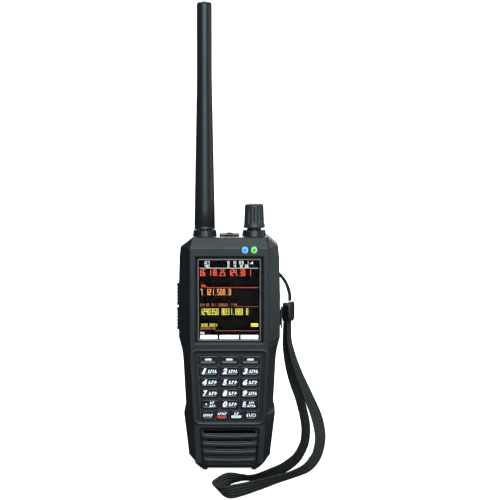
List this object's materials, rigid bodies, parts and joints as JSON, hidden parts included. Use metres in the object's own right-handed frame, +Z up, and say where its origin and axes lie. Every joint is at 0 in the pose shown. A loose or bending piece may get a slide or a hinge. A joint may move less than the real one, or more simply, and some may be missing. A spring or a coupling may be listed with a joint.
{
  "type": "handheld radio receiver",
  "caption": "Handheld radio receiver with a colour display, number keypad, whip antenna, tuning knob, belt clip and wrist strap.",
  "frame": {"origin": "centre of the footprint at the soles of the feet", "axes": "+Z up along the antenna, front face towards -Y, +X to the right seen from the front"},
  "size_m": [0.0933, 0.1192, 0.2896],
  "materials": {
    "case_plastic": "fine moulded texture",
    "socket_plastic": "smooth moulded",
    "black_rubber": "soft matte",
    "knob_plastic": "satin with fluted sides",
    "antenna_sheath": "satin",
    "slider_plastic": "satin",
    "key_plastic": "satin",
    "keypad_rubber": "soft matte",
    "frame_grey": "satin",
    "display_window": "polished",
    "display_panel": "lit liquid crystal panel",
    "lens_blue": "tinted",
    "lens_green": "tinted",
    "steel": "bright",
    "tin_plate": "tinned",
    "gold_plate": "gold plated",
    "board": "lacquered laminate",
    "battery_wrap": "shrink wrap",
    "woven_strap": "woven nylon"
  },
  "bodies": {
    "case": {"front_shell": "case_plastic", "rear_shell": "case_plastic", "shell_gasket": "black_rubber", "case_screw_1": "steel", "case_screw_2": "steel", "case_screw_3": "steel", "case_screw_4": "steel", "display_frame": "frame_grey", "display_glass": "display_window", "lcd_panel": "display_panel", "status_lens_left": "lens_blue", "status_lens_right": "lens_green", "keypad_mat": "keypad_rubber", "side_key_surround": "black_rubber", "encoder": "tin_plate", "antenna_jack": "gold_plate", "earphone_socket": "socket_plastic", "usb_socket": "tin_plate", "main_board": "board", "rf_shield": "tin_plate", "speaker_basket": "tin_plate", "speaker_cone": "black_rubber", "battery_pack": "battery_wrap", "clip_plate": "case_plastic", "clip_pin": "steel", "clip_spring": "steel", "strap_cord": "woven_strap", "strap_slider": "slider_plastic", "strap_webbing": "woven_strap"},
    "soft_key_1_body": {"soft_key_1": "key_plastic"},
    "soft_key_2_body": {"soft_key_2": "key_plastic"},
    "soft_key_3_body": {"soft_key_3": "key_plastic"},
    "key_1_body": {"key_1": "key_plastic"},
    "key_2_body": {"key_2": "key_plastic"},
    "key_3_body": {"key_3": "key_plastic"},
    "key_4_body": {"key_4": "key_plastic"},
    "key_5_body": {"key_5": "key_plastic"},
    "key_6_body": {"key_6": "key_plastic"},
    "key_7_body": {"key_7": "key_plastic"},
    "key_8_body": {"key_8": "key_plastic"},
    "key_9_body": {"key_9": "key_plastic"},
    "key_point_body": {"key_point": "key_plastic"},
    "key_0_body": {"key_0": "key_plastic"},
    "key_enter_body": {"key_enter": "key_plastic"},
    "function_key_1_body": {"function_key_1": "key_plastic"},
    "function_key_2_body": {"function_key_2": "key_plastic"},
    "function_key_3_body": {"function_key_3": "key_plastic"},
    "function_key_4_body": {"function_key_4": "key_plastic"},
    "side_key_upper_body": {"side_key_upper": "key_plastic"},
    "side_key_lower_body": {"side_key_lower": "key_plastic"},
    "spindle": {"knob_spindle": "steel"},
    "knob_body": {"knob": "knob_plastic"},
    "antenna_coupling": {"antenna_ferrule": "tin_plate"},
    "antenna": {"antenna_whip": "antenna_sheath"},
    "earphone_flap": {"earphone_cover": "black_rubber"},
    "usb_flap": {"usb_cover": "black_rubber"},
    "battery_door": {"battery_cover": "case_plastic"},
    "door_lock": {"battery_latch": "black_rubber"},
    "clip": {"belt_clip": "case_plastic"}
  },
  "joints": [
    {"name": "soft_key_1_press", "type": "slide", "parent": "case", "child": "soft_key_1_body", "axis": [0, 1, 0], "range_m": [0, 0.0006], "stiffness_N_per_m": 600},
    {"name": "soft_key_2_press", "type": "slide", "parent": "case", "child": "soft_key_2_body", "axis": [0, 1, 0], "range_m": [0, 0.0006], "stiffness_N_per_m": 600},
    {"name": "soft_key_3_press", "type": "slide", "parent": "case", "child": "soft_key_3_body", "axis": [0, 1, 0], "range_m": [0, 0.0006], "stiffness_N_per_m": 600},
    {"name": "key_1_press", "type": "slide", "parent": "case", "child": "key_1_body", "axis": [0, 1, 0], "range_m": [0, 0.0006], "stiffness_N_per_m": 600},
    {"name": "key_2_press", "type": "slide", "parent": "case", "child": "key_2_body", "axis": [0, 1, 0], "range_m": [0, 0.0006], "stiffness_N_per_m": 600},
    {"name": "key_3_press", "type": "slide", "parent": "case", "child": "key_3_body", "axis": [0, 1, 0], "range_m": [0, 0.0006], "stiffness_N_per_m": 600},
    {"name": "key_4_press", "type": "slide", "parent": "case", "child": "key_4_body", "axis": [0, 1, 0], "range_m": [0, 0.0006], "stiffness_N_per_m": 600},
    {"name": "key_5_press", "type": "slide", "parent": "case", "child": "key_5_body", "axis": [0, 1, 0], "range_m": [0, 0.0006], "stiffness_N_per_m": 600},
    {"name": "key_6_press", "type": "slide", "parent": "case", "child": "key_6_body", "axis": [0, 1, 0], "range_m": [0, 0.0006], "stiffness_N_per_m": 600},
    {"name": "key_7_press", "type": "slide", "parent": "case", "child": "key_7_body", "axis": [0, 1, 0], "range_m": [0, 0.0006], "stiffness_N_per_m": 600},
    {"name": "key_8_press", "type": "slide", "parent": "case", "child": "key_8_body", "axis": [0, 1, 0], "range_m": [0, 0.0006], "stiffness_N_per_m": 600},
    {"name": "key_9_press", "type": "slide", "parent": "case", "child": "key_9_body", "axis": [0, 1, 0], "range_m": [0, 0.0006], "stiffness_N_per_m": 600},
    {"name": "key_point_press", "type": "slide", "parent": "case", "child": "key_point_body", "axis": [0, 1, 0], "range_m": [0, 0.0006], "stiffness_N_per_m": 600},
    {"name": "key_0_press", "type": "slide", "parent": "case", "child": "key_0_body", "axis": [0, 1, 0], "range_m": [0, 0.0006], "stiffness_N_per_m": 600},
    {"name": "key_enter_press", "type": "slide", "parent": "case", "child": "key_enter_body", "axis": [0, 1, 0], "range_m": [0, 0.0006], "stiffness_N_per_m": 600},
    {"name": "function_key_1_press", "type": "slide", "parent": "case", "child": "function_key_1_body", "axis": [0, 1, 0], "range_m": [0, 0.0006], "stiffness_N_per_m": 600},
    {"name": "function_key_2_press", "type": "slide", "parent": "case", "child": "function_key_2_body", "axis": [0, 1, 0], "range_m": [0, 0.0006], "stiffness_N_per_m": 600},
    {"name": "function_key_3_press", "type": "slide", "parent": "case", "child": "function_key_3_body", "axis": [0, 1, 0], "range_m": [0, 0.0006], "stiffness_N_per_m": 600},
    {"name": "function_key_4_press", "type": "slide", "parent": "case", "child": "function_key_4_body", "axis": [0, 1, 0], "range_m": [0, 0.0006], "stiffness_N_per_m": 600},
    {"name": "side_key_upper_press", "type": "slide", "parent": "case", "child": "side_key_upper_body", "axis": [1, 0, 0], "range_m": [0, 0.0006], "stiffness_N_per_m": 900},
    {"name": "side_key_lower_press", "type": "slide", "parent": "case", "child": "side_key_lower_body", "axis": [1, 0, 0], "range_m": [0, 0.0006], "stiffness_N_per_m": 900},
    {"name": "knob_press", "type": "slide", "parent": "case", "child": "spindle", "axis": [0, 0, -1], "range_m": [0, 0.0005], "stiffness_N_per_m": 2500},
    {"name": "knob_turn", "type": "hinge", "parent": "spindle", "child": "knob_body", "pos_m": [0.0153, -0.0079, 0.15], "axis": [0, 0, 1], "continuous": true},
    {"name": "antenna_rise", "type": "slide", "parent": "case", "child": "antenna_coupling", "axis": [0, 0, 1], "range_m": [0, 0.0032]},
    {"name": "antenna_turn", "type": "hinge", "parent": "antenna_coupling", "child": "antenna", "pos_m": [-0.0153, -0.0079, 0.15], "axis": [0, 0, 1], "range_deg": [0, 1620]},
    {"name": "earphone_cover_lift", "type": "hinge", "parent": "case", "child": "earphone_flap", "pos_m": [0, -0.0029, 0.1463], "axis": [-1, 0, 0], "range_deg": [0, 110]},
    {"name": "usb_cover_lift", "type": "hinge", "parent": "case", "child": "usb_flap", "pos_m": [0.0323, -0.009, 0.0883], "axis": [0, 1, 0], "range_deg": [0, 100]},
    {"name": "battery_cover_slide", "type": "slide", "parent": "case", "child": "battery_door", "axis": [0, 0, -1], "range_m": [0, 0.005]},
    {"name": "battery_latch_slide", "type": "slide", "parent": "battery_door", "child": "door_lock", "axis": [1, 0, 0], "range_m": [0, 0.003]},
    {"name": "belt_clip_open", "type": "hinge", "parent": "case", "child": "clip", "pos_m": [0, 0.018, 0.1166], "axis": [1, 0, 0], "range_deg": [0, 15], "stiffness_Nm_per_rad": 1.5, "springref_deg": -1.72}
  ],
  "couplings": [
    {"joint": "antenna_rise", "follows": "antenna_turn", "m_per_rad": 0.00011236}
  ]
}
